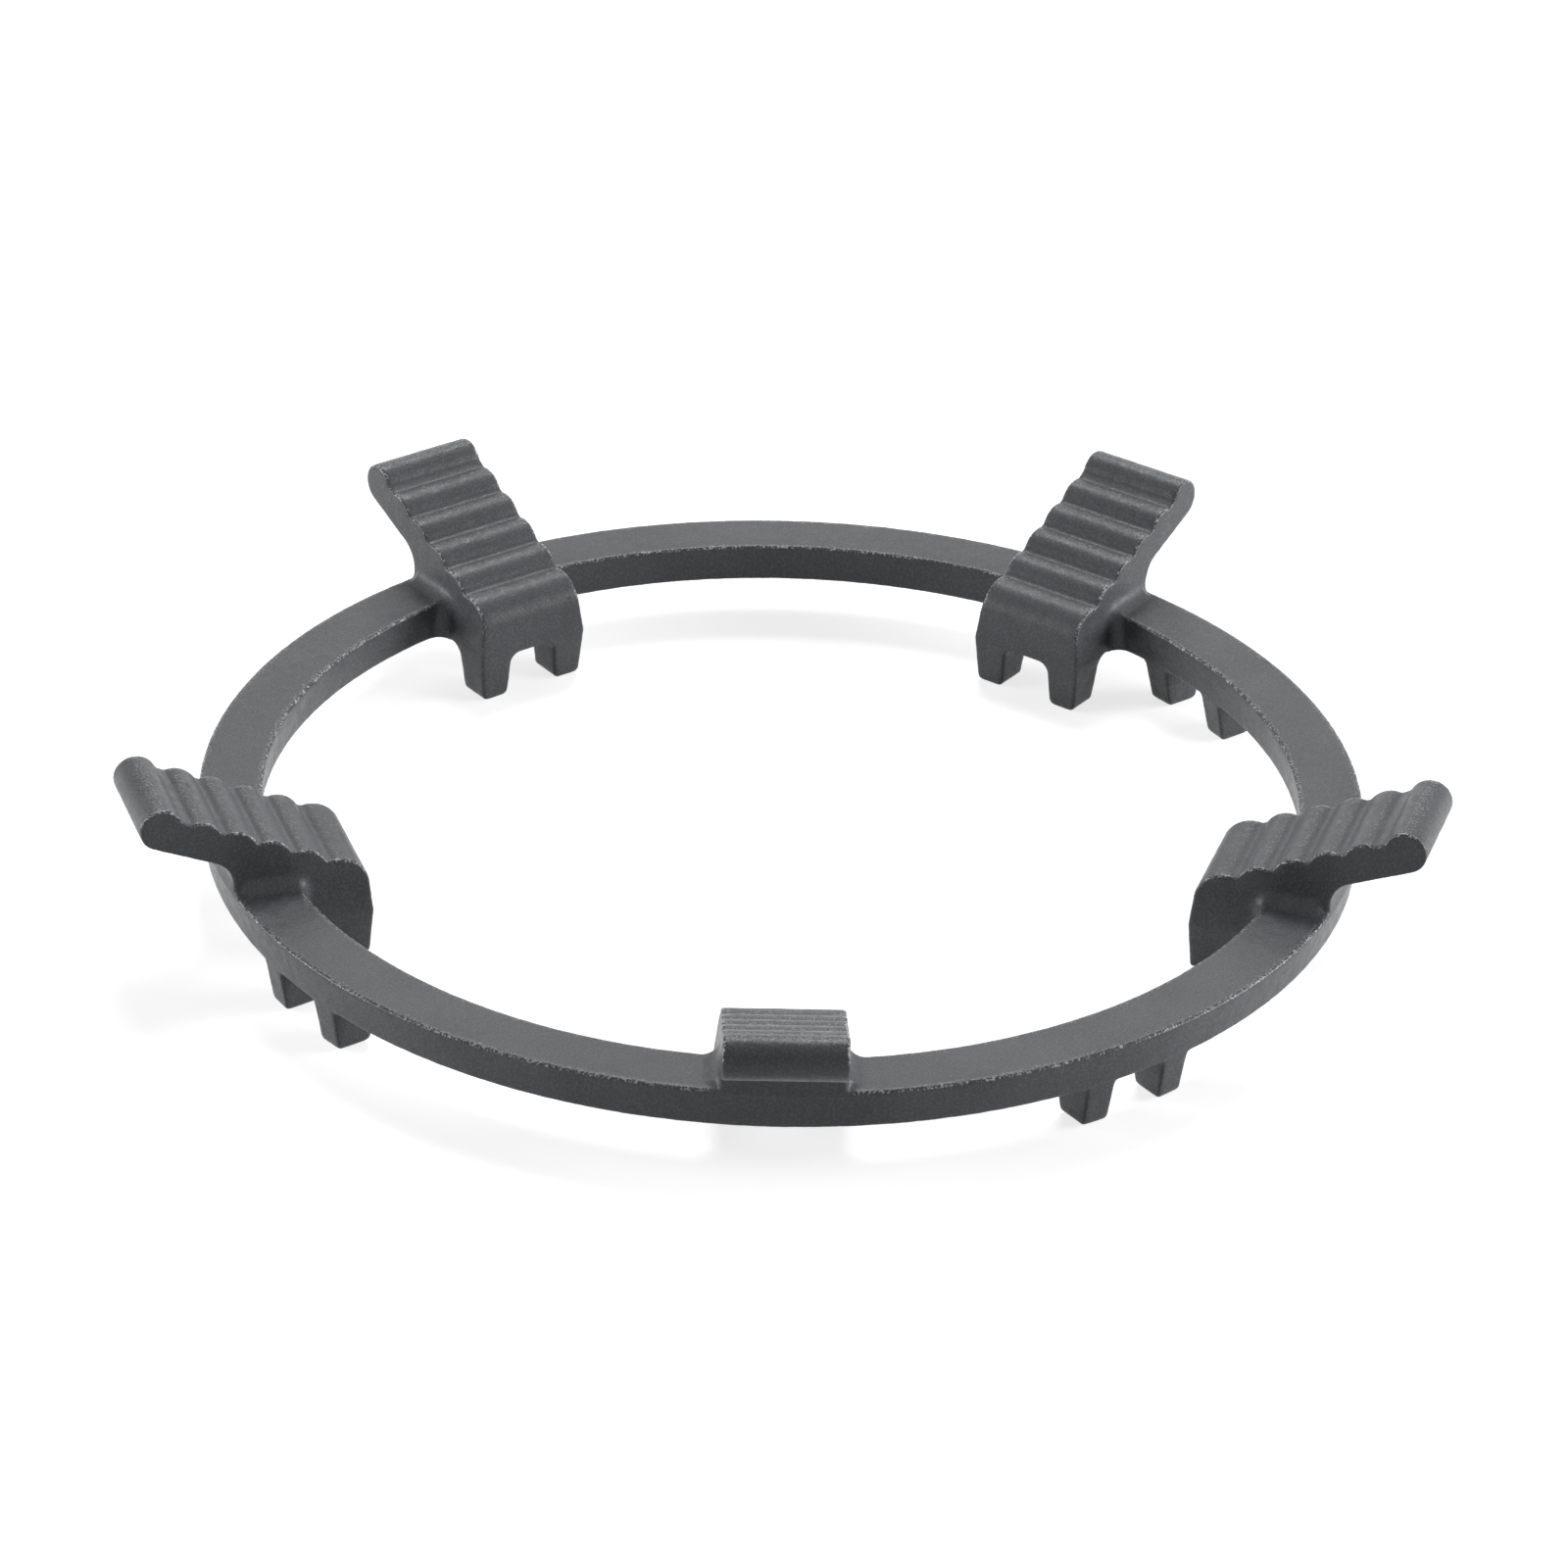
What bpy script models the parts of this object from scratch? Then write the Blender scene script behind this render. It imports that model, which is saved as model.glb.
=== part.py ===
"""Wok ring: a one-piece iron casting that holds a round-bottomed wok over a gas burner.

A flat ring carries five ribbed lugs. Each lug leans up and outwards from the burner
opening, crosses over the ring and ends below its inner side in two prongs. Three
pairs of feet hang under the ring. The notch between two prongs and the gap between
two feet are one width, and four of them, a quarter turn apart, drop over the four
fingers of a pan support.

Lengths are metres and angles degrees. The origin is on the ring's axis, level with
the ring's top face, +Z is up, and the lug that straddles a finger is on +Y.
"""
import math

import bmesh
import bpy
from mathutils import Matrix

# Ring bar: a flat band, drafted towards its underside
RING_OUTER_R = 0.1100
RING_BAR_W = 0.0122
RING_H = 0.0079
RING_OUTER_DRAFT = 0.0010
RING_INNER_DRAFT = 0.0006
RING_TOP_ROUND = 0.0006
RING_BOTTOM_ROUND = 0.0007
RING_STEPS = 108

# Lug pattern and widths across the lug
LUG_COUNT = 5
LUG_TIP_W = 0.0221
LUG_SHOULDER_W = 0.0225
LUG_PARTING_W = 0.0246
LUG_FOOT_W = 0.0229
LUG_SHOULDER_Z = 0.0015
LUG_EDGE_ROUND = 0.00045

# Lug side profile: the raised tip, the ribbed slope and the underside
TIP_OVERHANG = 0.0123
TIP_Z = 0.0150
TIP_ROUND = 0.0041
SLOPE_DEG = 24.1
RIB_COUNT = 4
RIB_PITCH = 0.0071
RIB_RISE = 0.0013
RIB_VALLEY_W = 0.0009
RIB_LINE_LIFT = 0.0026
TIP_TO_VALLEY = 0.0045
NOSE_ROUND = 0.0060
NOSE_START_DEG = 77
UNDERSIDE_DEG = 22.5
BACK_ROUND = 0.0057
BACK_INSET = 0.0002

# Lug inner end and its two prongs
PARTING_DROP = 0.0072
END_DRAFT_UP = 0.0005
END_DRAFT_DOWN = 0.0006
LUG_UNDERSIDE_LIFT = 0.0004
PRONG_DEPTH = 0.0070
PRONG_DRAFT = 0.0008
PRONG_FILLET = 0.0023
PRONG_CORNER = 0.0009
PRONG_SIDE_ROUND = 0.0013
NOTCH_CORNER = 0.0022
NOTCH_MOUTH_ROUND = 0.0016
NOTCH_DROP = 0.0005
NOTCH_DRAFT = 0.0004
NOTCH_EDGE_CHAMFER = 0.0005

# What the ring stands on: the fingers of a pan support, the gap that one fills and the
# depth of all that drops down beside it
FINGER_COUNT = 4
FINGER_GAP = 0.0109
STAND_DEPTH = 0.0090

# Feet under the ring
FOOT_W = 0.0060
FOOT_SIDE_DRAFT = 0.0003
FOOT_OUTER_DRAFT = 0.0026
FOOT_INNER_DRAFT = 0.0022
FOOT_FILLET = 0.0020
FOOT_CORNER = 0.0005
FOOT_BOTTOM_ROUND = 0.0009

# Fillet between a lug's side and the ring's top and inner faces
SIDE_FILLET = 0.0032
SIDE_FILLET_FADE = 0.0018
SIDE_FILLET_TOE = 0.0002

# Depth by which joined shapes run into each other, and how far short of lying flush
# with a face a fillet's arc stops
SINK = 0.0006
FLUSH_DEG = 10

# Look of the casting: an edge is shaded sharp where its faces turn by more than this
SHARP_DEG = 32
IRON_COLOUR = (0.080, 0.081, 0.086, 1.0)
IRON_ROUGHNESS = 0.62
IRON_METALLIC = 0.15

# Heights and radii that follow from the sizes above
RING_INNER_R = RING_OUTER_R - RING_BAR_W
RING_BOTTOM_Z = -RING_H
STAND_Z = RING_BOTTOM_Z - STAND_DEPTH
LUG_UNDERSIDE_Z = RING_BOTTOM_Z + LUG_UNDERSIDE_LIFT
PARTING_Z = -PARTING_DROP
TIP_R = RING_OUTER_R + TIP_OVERHANG
SLOPE = math.radians(SLOPE_DEG)


def arc(y, z, radius, start_deg, end_deg, steps):
    """Points on an arc about (y, z), both ends included."""
    points = []
    for i in range(steps + 1):
        a = math.radians(start_deg + (end_deg - start_deg) * i / steps)
        points.append((y + radius * math.cos(a), z + radius * math.sin(a)))
    return points


def rounding(radius, start_deg, end_deg, steps):
    """Pairs across and along a quarter round: (0, radius) at 0 and (radius, 0) at 90."""
    pairs = []
    for i in range(steps + 1):
        a = math.radians(start_deg + (end_deg - start_deg) * i / steps)
        pairs.append((radius * (1 - math.cos(a)), radius * (1 - math.sin(a))))
    return pairs


def inset(path, amount):
    """Open path of the same number of points, moved to its left by an amount."""
    headings = [math.atan2(z1 - z0, y1 - y0) for (y0, z0), (y1, z1) in zip(path, path[1:])]
    moved = []
    for (y, z), before, after in zip(path, headings[:1] + headings, headings + headings[-1:]):
        bend = math.remainder(after - before, math.tau) / 2
        reach = amount / math.cos(bend)
        moved.append((y - reach * math.sin(before + bend), z + reach * math.cos(before + bend)))
    return moved


def mesh_object(name, bm):
    """A new object from a bmesh, with its faces turned outwards."""
    bmesh.ops.recalc_face_normals(bm, faces=bm.faces)
    mesh = bpy.data.meshes.new(name)
    bm.to_mesh(mesh)
    bm.free()
    mesh.shade_smooth()
    mesh.set_sharp_from_angle(angle=math.radians(SHARP_DEG))
    obj = bpy.data.objects.new(name, mesh)
    bpy.context.scene.collection.objects.link(obj)
    return obj


def mark_as_helper(obj):
    """A shape that only takes part in a Boolean."""
    obj.hide_render = True
    obj.display_type = 'WIRE'
    return obj


def add_boolean(obj, operation, other):
    """Join another shape to an object, or cut it away."""
    modifier = obj.modifiers.new(operation.title() + " " + other.name, 'BOOLEAN')
    modifier.operation = operation
    modifier.object = other
    modifier.solver = 'EXACT'


def add_loft(bm, sections):
    """Closed solid through sections that have the same number of points."""
    rows = [[bm.verts.new(point) for point in section] for section in sections]
    count = len(rows[0])
    for lower, upper in zip(rows, rows[1:]):
        for i in range(count):
            j = (i + 1) % count
            bm.faces.new((lower[i], lower[j], upper[j], upper[i]))
    bm.faces.new(rows[0])
    bm.faces.new(rows[-1])


def add_turned_copies(bm, source, angles_deg):
    """Copies of a bmesh, each turned about the ring's axis."""
    for angle in angles_deg:
        turned = source.copy()
        turned.transform(Matrix.Rotation(math.radians(angle), 4, 'Z'))
        mesh = bpy.data.meshes.new("turned copy")
        turned.to_mesh(mesh)
        turned.free()
        bm.from_mesh(mesh)
        bpy.data.meshes.remove(mesh)
    source.free()


def lug_angles():
    """Turns of the lugs from +Y."""
    return [360.0 * i / LUG_COUNT for i in range(LUG_COUNT)]


def feet_angles():
    """Turns of the feet: one pair for each finger but the one that a lug straddles."""
    return [360.0 * i / FINGER_COUNT for i in range(1, FINGER_COUNT)]


def ring_outer_r(z):
    """Radius of the ring's outer face at a height, its draft carried on past its ends."""
    return RING_OUTER_R + RING_OUTER_DRAFT * z / RING_H


def ring_inner_r(z):
    """Radius of the ring's inner face at a height."""
    return RING_INNER_R - RING_INNER_DRAFT * z / RING_H


def along(radius, x):
    """Distance out from the axis, at x beside it, of a circle about the axis."""
    return math.sqrt(radius * radius - x * x)


def ring_section():
    """Outline of the ring bar in radius and height, with rounded corners."""
    top, low = RING_TOP_ROUND, RING_BOTTOM_ROUND
    outline = arc(ring_outer_r(0) - top, -top, top, 0, 90, 2)
    outline += arc(ring_inner_r(0) + top, -top, top, 90, 180, 2)
    outline += arc(ring_inner_r(-RING_H) + low, RING_BOTTOM_Z + low, low, 180, 270, 2)
    outline += arc(ring_outer_r(-RING_H) - low, RING_BOTTOM_Z + low, low, 270, 360, 2)
    return outline


def make_ring():
    """The ring: its section turned about the axis."""
    bm = bmesh.new()
    rows = []
    for step in range(RING_STEPS):
        a = math.tau * step / RING_STEPS
        rows.append([bm.verts.new((radius * math.sin(a), -radius * math.cos(a), z))
                     for radius, z in ring_section()])
    for row, following in zip(rows, rows[1:] + rows[:1]):
        for i in range(len(row)):
            bm.faces.new((row[i - 1], row[i], following[i], following[i - 1]))
    return mesh_object("wok_ring", bm)


def slope_point(distance, lift):
    """Point at a distance in along the ribbed slope from the tip's centre, and above it."""
    y = TIP_R - distance * math.cos(SLOPE) - lift * math.sin(SLOPE)
    z = TIP_Z - distance * math.sin(SLOPE) + lift * math.cos(SLOPE)
    return y, z


def rib_circle(index):
    """Centre and radius of one rib's round back."""
    half_chord = (RIB_PITCH - RIB_VALLEY_W) / 2
    radius = (half_chord ** 2 + RIB_RISE ** 2) / (2 * RIB_RISE)
    middle = TIP_TO_VALLEY + (index + 0.5) * RIB_PITCH
    y, z = slope_point(middle, RIB_LINE_LIFT + RIB_RISE - radius)
    return y, z, radius, math.degrees(math.asin(half_chord / radius))


def ribbed_top():
    """From the tip's round, in and down over the ribs, to the nose and the inner face."""
    normal = 90 + SLOPE_DEG
    tip_end = math.degrees(math.acos((RIB_LINE_LIFT + SINK / 4) / TIP_ROUND))
    points = arc(TIP_R, TIP_Z, TIP_ROUND, UNDERSIDE_DEG - 90, normal + tip_end, 12)
    for index in range(RIB_COUNT):
        y, z, radius, half = rib_circle(index)
        points += arc(y, z, radius, normal - half, normal + half, 5)
    start = math.radians(NOSE_START_DEG)
    y, z = slope_point(TIP_TO_VALLEY + RIB_COUNT * RIB_PITCH + RIB_VALLEY_W / 2, RIB_LINE_LIFT)
    y -= NOSE_ROUND * math.cos(start)
    z -= NOSE_ROUND * math.sin(start)
    return points + arc(y, z, NOSE_ROUND, NOSE_START_DEG, 180, 9)


def inner_end(face_y):
    """Down the inner face, round the prong and back up to the lug's underside."""
    parting_y = face_y - END_DRAFT_UP
    foot_y = parting_y + END_DRAFT_DOWN
    back_y = foot_y + PRONG_DEPTH
    root_y = back_y + PRONG_DRAFT
    corner = PRONG_CORNER
    points = [(parting_y, PARTING_Z)]
    points += arc(foot_y + corner, STAND_Z + corner, corner, 180, 270, 3)
    points += arc(back_y - corner, STAND_Z + corner, corner, 270, 360, 3)
    points += arc(root_y + PRONG_FILLET, LUG_UNDERSIDE_Z - PRONG_FILLET, PRONG_FILLET, 180, 90, 5)
    return points


def lug_back_y():
    """Distance out of the lug's upright back, above the ring's outer edge."""
    return along(RING_OUTER_R, LUG_PARTING_W / 2) - BACK_INSET


def back_of_lug():
    """From just inside the ring's outer edge up the lug's back to the tip's underside."""
    back_y = lug_back_y()
    side = math.radians(UNDERSIDE_DEG)
    low_y = TIP_R + TIP_ROUND * math.sin(side)
    low_z = TIP_Z - TIP_ROUND * math.cos(side)
    centre_y = back_y + BACK_ROUND
    line_z = low_z - (low_y - centre_y) * math.tan(side)
    centre_z = line_z - BACK_ROUND / math.cos(side)
    turn = math.degrees(math.asin((centre_z + SINK) / BACK_ROUND))
    return arc(centre_y, centre_z, BACK_ROUND, 180 + turn, 90 + UNDERSIDE_DEG, 10)


def lug_profile():
    """A lug's side outline in distance out and height, prongs included.

    The first list runs over all that shows, from the ring's outer edge round
    to the prongs. The second closes it through the ring's body.
    """
    top = ribbed_top()
    inner_wall = along(RING_INNER_R, LUG_PARTING_W / 2)
    outer_wall = along(RING_OUTER_R, LUG_PARTING_W / 2)
    hidden = [(inner_wall + RING_BAR_W / 4, LUG_UNDERSIDE_Z),
              (outer_wall - RING_BAR_W / 4, RING_BOTTOM_Z / 2)]
    return back_of_lug() + top + inner_end(top[-1][0]), hidden


def lug_half_width(z):
    """Half the lug's width at a height: drafted both ways from the parting line."""
    stations = [(STAND_Z, LUG_FOOT_W), (PARTING_Z, LUG_PARTING_W),
                (LUG_SHOULDER_Z, LUG_SHOULDER_W), (TIP_Z + TIP_ROUND, LUG_TIP_W)]
    width = LUG_FOOT_W
    for (z0, w0), (z1, w1) in zip(stations, stations[1:]):
        if z >= z0:
            width = w0 + (w1 - w0) * (z - z0) / (z1 - z0)
    depth = max(0.0, PRONG_SIDE_ROUND - (z - STAND_Z))
    rounding = PRONG_SIDE_ROUND - math.sqrt(max(0.0, PRONG_SIDE_ROUND ** 2 - depth ** 2))
    return width / 2 - rounding


def make_lugs():
    """The five lugs: the side outline given width, then narrowed to its drafts."""
    shown, hidden = lug_profile()
    stations = []
    for amount, depth in rounding(LUG_EDGE_ROUND, 90, 0, 2):
        stations.append((1 - depth / (LUG_TIP_W / 2), inset(shown, amount) + hidden))
    sections = [[(-x, y, z) for y, z in outline] for x, outline in stations]
    sections += [[(x, y, z) for y, z in outline] for x, outline in reversed(stations)]
    bm = bmesh.new()
    add_loft(bm, sections)
    levels = [LUG_SHOULDER_Z, PARTING_Z]
    levels += [STAND_Z + lift for shrink, lift in rounding(PRONG_SIDE_ROUND, 0, 60, 2)]
    for z in levels:
        bmesh.ops.bisect_plane(bm, geom=bm.verts[:] + bm.edges[:] + bm.faces[:], dist=1e-6,
                               plane_co=(0, 0, z), plane_no=(0, 0, 1))
    for vert in bm.verts:
        vert.co.x *= lug_half_width(vert.co.z)
    lugs = bmesh.new()
    add_turned_copies(lugs, bm, lug_angles())
    return mark_as_helper(mesh_object("lugs", lugs))


def notch_outline(grown):
    """Notch between two prongs: round top corners, drafted sides and a round mouth."""
    corner = NOTCH_CORNER + grown
    half_top = FINGER_GAP / 2 - NOTCH_DRAFT - NOTCH_CORNER
    mouth_x = FINGER_GAP / 2 + NOTCH_MOUTH_ROUND
    side = arc(half_top, LUG_UNDERSIDE_Z - NOTCH_DROP - NOTCH_CORNER, corner, 90, 0, 5)
    side += arc(mouth_x, STAND_Z + NOTCH_MOUTH_ROUND, NOTCH_MOUTH_ROUND - grown, 180, 270 - FLUSH_DEG, 4)
    side += [(mouth_x, STAND_Z - SINK)]
    return side + [(-x, z) for x, z in reversed(side)]


def make_notches():
    """Cutters for the notches, run clear through the prongs, with a chamfered inner edge."""
    parting_y = ribbed_top()[-1][0] - END_DRAFT_UP
    draft = END_DRAFT_DOWN / (PARTING_Z - STAND_Z)
    behind = PRONG_DEPTH + PRONG_DRAFT + PRONG_FILLET + SINK
    edge = NOTCH_EDGE_CHAMFER
    stations = [(-SINK / 2, edge + SINK / 2), (edge, 0.0), (behind, 0.0)]
    bm = bmesh.new()
    add_loft(bm, [[(x, parting_y + draft * (PARTING_Z - z) + along_y, z)
                   for x, z in notch_outline(grown)] for along_y, grown in stations])
    cutters = bmesh.new()
    add_turned_copies(cutters, bm, lug_angles())
    return mark_as_helper(mesh_object("notches", cutters))


def fillet_section(side, circle_r, level_z, normal_deg, height=1.0):
    """One station of a side fillet, between the lug's side and a face of the ring.

    The face looks along normal_deg: 90 is the ring's top and 180 its inner face. The
    stations turn about a line that lies SINK inside the ring, below both faces.
    """
    ny = math.cos(math.radians(normal_deg))
    nz = math.sin(math.radians(normal_deg))
    corners = [(-SINK, -SINK / 2), (-SINK, SIDE_FILLET)]
    corners += rounding(SIDE_FILLET, FLUSH_DEG, 90 - FLUSH_DEG, 4)
    corners.append((SIDE_FILLET, -SINK / 2))
    points = []
    for out, up in corners:
        lift = SINK + (up * height if up > 0 else up)
        z = level_z - SINK + lift * nz
        x = lug_half_width(z) + out
        points.append((side * x, along(circle_r, x) + SINK + lift * ny, z))
    return points


def make_side_fillets():
    """Fillets beside each lug, from a low toe at its back in over the ring and down inside."""
    lowest = RING_BOTTOM_Z + RING_BOTTOM_ROUND + SINK / 4
    outer = math.hypot(lug_back_y() - SINK * 1.25, lug_half_width(0))
    toe = SIDE_FILLET_TOE / SIDE_FILLET
    bm = bmesh.new()
    for side in (-1, 1):
        sections = [fillet_section(side, outer - SIDE_FILLET_FADE * back, 0.0, 90,
                                   toe + (1 - toe) * back ** 2) for back in (0.0, 0.5, 1.0)]
        sections += [fillet_section(side, RING_INNER_R, 0.0, 90 + 22.5 * i) for i in range(5)]
        sections.append(fillet_section(side, ring_inner_r(lowest), lowest, 180))
        add_loft(bm, sections)
    fillets = bmesh.new()
    add_turned_copies(fillets, bm, lug_angles())
    return mark_as_helper(mesh_object("side_fillets", fillets))


def foot_section(z, spread, shrink):
    """Rounded rectangle of a foot at a height, in distance from its middle line.

    spread widens it along the ring and shrink takes it in on every side.
    """
    depth = (RING_BOTTOM_Z - z) / STAND_DEPTH
    middle = FINGER_GAP / 2 + FOOT_W / 2
    half = FOOT_W / 2 + spread - shrink - FOOT_SIDE_DRAFT * max(0.0, depth)
    outer = ring_outer_r(RING_BOTTOM_Z) - SINK / 4 - FOOT_OUTER_DRAFT * max(0.0, depth) - shrink
    inner = ring_inner_r(RING_BOTTOM_Z) + SINK / 4 + FOOT_INNER_DRAFT * max(0.0, depth) + shrink
    corner = min(FOOT_CORNER + spread, half - FOOT_CORNER)
    points = []
    for sx, radius, start in ((1, outer, 0), (-1, outer, 90), (-1, inner, 180), (1, inner, 270)):
        sy = 1 if radius == outer else -1
        for x, y in arc(sx * (half - corner), -sy * corner, corner, start, start + 90, 2):
            points.append((middle + x, along(radius, middle + x) + y, z))
    return points


def make_feet():
    """The three pairs of feet, one foot each side of a finger."""
    stations = [(RING_BOTTOM_Z + RING_BOTTOM_ROUND + SINK, FOOT_FILLET, SINK / 2)]
    for spread, drop in rounding(FOOT_FILLET, 90 - FLUSH_DEG, FLUSH_DEG, 3):
        stations.append((RING_BOTTOM_Z - drop, spread, 0.0))
    for shrink, lift in rounding(FOOT_BOTTOM_ROUND, 0, 90, 3):
        stations.append((STAND_Z + lift, 0.0, shrink))
    bm = bmesh.new()
    right = [foot_section(*station) for station in stations]
    add_loft(bm, right)
    add_loft(bm, [[(-x, y, z) for x, y, z in section] for section in right])
    feet = bmesh.new()
    add_turned_copies(feet, bm, feet_angles())
    return mark_as_helper(mesh_object("feet", feet))


def iron_material():
    """Dark grey cast iron under a matt enamel."""
    material = bpy.data.materials.new("enamelled cast iron")
    material.use_nodes = True
    shader = material.node_tree.nodes["Principled BSDF"]
    shader.inputs["Base Color"].default_value = IRON_COLOUR
    shader.inputs["Roughness"].default_value = IRON_ROUGHNESS
    shader.inputs["Metallic"].default_value = IRON_METALLIC
    return material


def clear_scene():
    """Empty the scene."""
    for obj in list(bpy.data.objects):
        bpy.data.objects.remove(obj, do_unlink=True)


def main():
    """Cast the ring: join the lugs, their fillets and the feet to it as one solid."""
    clear_scene()
    ring = make_ring()
    lugs = make_lugs()
    add_boolean(lugs, 'DIFFERENCE', make_notches())
    for shape in (lugs, make_side_fillets(), make_feet()):
        add_boolean(ring, 'UNION', shape)
    ring.data.materials.append(iron_material())


main()
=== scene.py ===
"""Wok ring: a one-piece iron casting under a thin matt enamel, in a plain studio.

The casting is built from its section, its lug, its foot and its fillets. Geometry
nodes sweep the ring and turn the copies, and the whole is then fused and softened,
because a sand mould leaves no sharp edge. Lengths are metres. +Z is up, the origin is
on the ring's axis level with its top face, and +Y runs through one of the lugs.
"""
import math

import bmesh
import bpy
from mathutils import Matrix, Vector


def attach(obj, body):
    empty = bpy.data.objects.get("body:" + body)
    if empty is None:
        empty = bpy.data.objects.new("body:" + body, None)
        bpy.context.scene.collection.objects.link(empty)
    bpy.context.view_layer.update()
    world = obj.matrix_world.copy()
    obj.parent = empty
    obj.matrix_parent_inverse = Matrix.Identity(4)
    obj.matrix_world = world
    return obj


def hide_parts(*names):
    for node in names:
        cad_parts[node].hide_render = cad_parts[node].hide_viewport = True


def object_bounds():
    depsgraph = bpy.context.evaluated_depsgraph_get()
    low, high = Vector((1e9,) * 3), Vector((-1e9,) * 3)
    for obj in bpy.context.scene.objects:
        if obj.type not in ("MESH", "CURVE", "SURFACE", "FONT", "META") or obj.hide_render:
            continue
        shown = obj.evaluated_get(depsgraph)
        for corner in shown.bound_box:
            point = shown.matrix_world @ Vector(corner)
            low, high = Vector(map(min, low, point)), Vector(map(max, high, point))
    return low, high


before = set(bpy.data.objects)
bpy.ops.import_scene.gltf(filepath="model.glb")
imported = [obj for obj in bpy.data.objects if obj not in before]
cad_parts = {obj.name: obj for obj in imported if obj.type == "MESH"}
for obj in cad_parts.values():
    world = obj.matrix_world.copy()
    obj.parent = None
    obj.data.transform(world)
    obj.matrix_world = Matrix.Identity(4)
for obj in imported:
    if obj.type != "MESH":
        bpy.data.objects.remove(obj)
CAD_LOW, CAD_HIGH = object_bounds()

bl_info = {
    "name": "Wok ring",
    "version": (1, 0, 0),
    "blender": (4, 5, 0),
    "location": "3D View > Sidebar > Wok ring",
    "description": "Builds a cast-iron wok ring and the studio it stands in",
    "category": "Add Mesh",
}

BODY = "root"
NODE = "wok_ring"
EDGE = "edge"  # point attribute: above 0 on edges, below 0 in corners, 0 on flats
LAMP_DISTANCE = 1.3
FLOOR_REACH = 6.0
SHADOW_FROM, SHADOW_TO = 0.13, 0.45  # the floor's own white grows between these radii

# the camera's place and turn, solved from the photograph
CAMERA_PLACE = (
    (0.806520, 0.273756, -0.524006, -0.655436),
    (-0.590746, 0.408131, -0.696023, -0.871373),
    (0.023323, 0.870912, 0.490886, 0.614463),
    (0.0, 0.0, 0.0, 1.0),
)


def linear(hex_colour):
    """Linear RGBA from an sRGB hex colour such as 5C5D60."""
    channels = []
    for i in (0, 2, 4):
        value = int(hex_colour[i:i + 2], 16) / 255
        channels.append(value / 12.92 if value <= 0.04045 else ((value + 0.055) / 1.055) ** 2.4)
    return (*channels, 1.0)


def size(name, description, default):
    """A length that a user may change."""
    return bpy.props.FloatProperty(name=name, description=description, default=default,
                                   min=0.0, precision=5, subtype='DISTANCE', unit='LENGTH')


def angle(name, description, degrees):
    """An angle that a user may change."""
    return bpy.props.FloatProperty(name=name, description=description,
                                   default=math.radians(degrees), subtype='ANGLE', unit='ROTATION')


def count(name, description, default):
    """A number of things that a user may change."""
    return bpy.props.IntProperty(name=name, description=description, default=default, min=1)


def colour(name, description, hex_colour):
    """A colour that a user may change."""
    return bpy.props.FloatVectorProperty(name=name, description=description, size=4, min=0.0,
                                         max=1.0, default=linear(hex_colour), subtype='COLOR')


def factor(name, description, default, highest=1.0):
    """A plain share or strength that a user may change."""
    return bpy.props.FloatProperty(name=name, description=description, default=default, min=0.0,
                                   max=highest, subtype='FACTOR')


class WokRingBarSizes(bpy.types.PropertyGroup):
    """Sizes of the flat ring."""
    outer_r: size("Outer radius", "Radius of the ring's outer face at its top", 0.1100)
    bar_w: size("Bar width", "Width of the flat top face", 0.0122)
    height: size("Height", "Height of the bar", 0.0079)
    outer_draft: size("Outer draft", "How far the outer face leans in by its bottom", 0.0010)
    inner_draft: size("Inner draft", "How far the inner face leans out by its bottom", 0.0006)
    top_round: size("Top edge round", "Radius of the two top edges", 0.0006)
    bottom_round: size("Bottom edge round", "Radius of the two bottom edges", 0.0007)
    steps: count("Steps", "Sections round the ring", 480)


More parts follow.
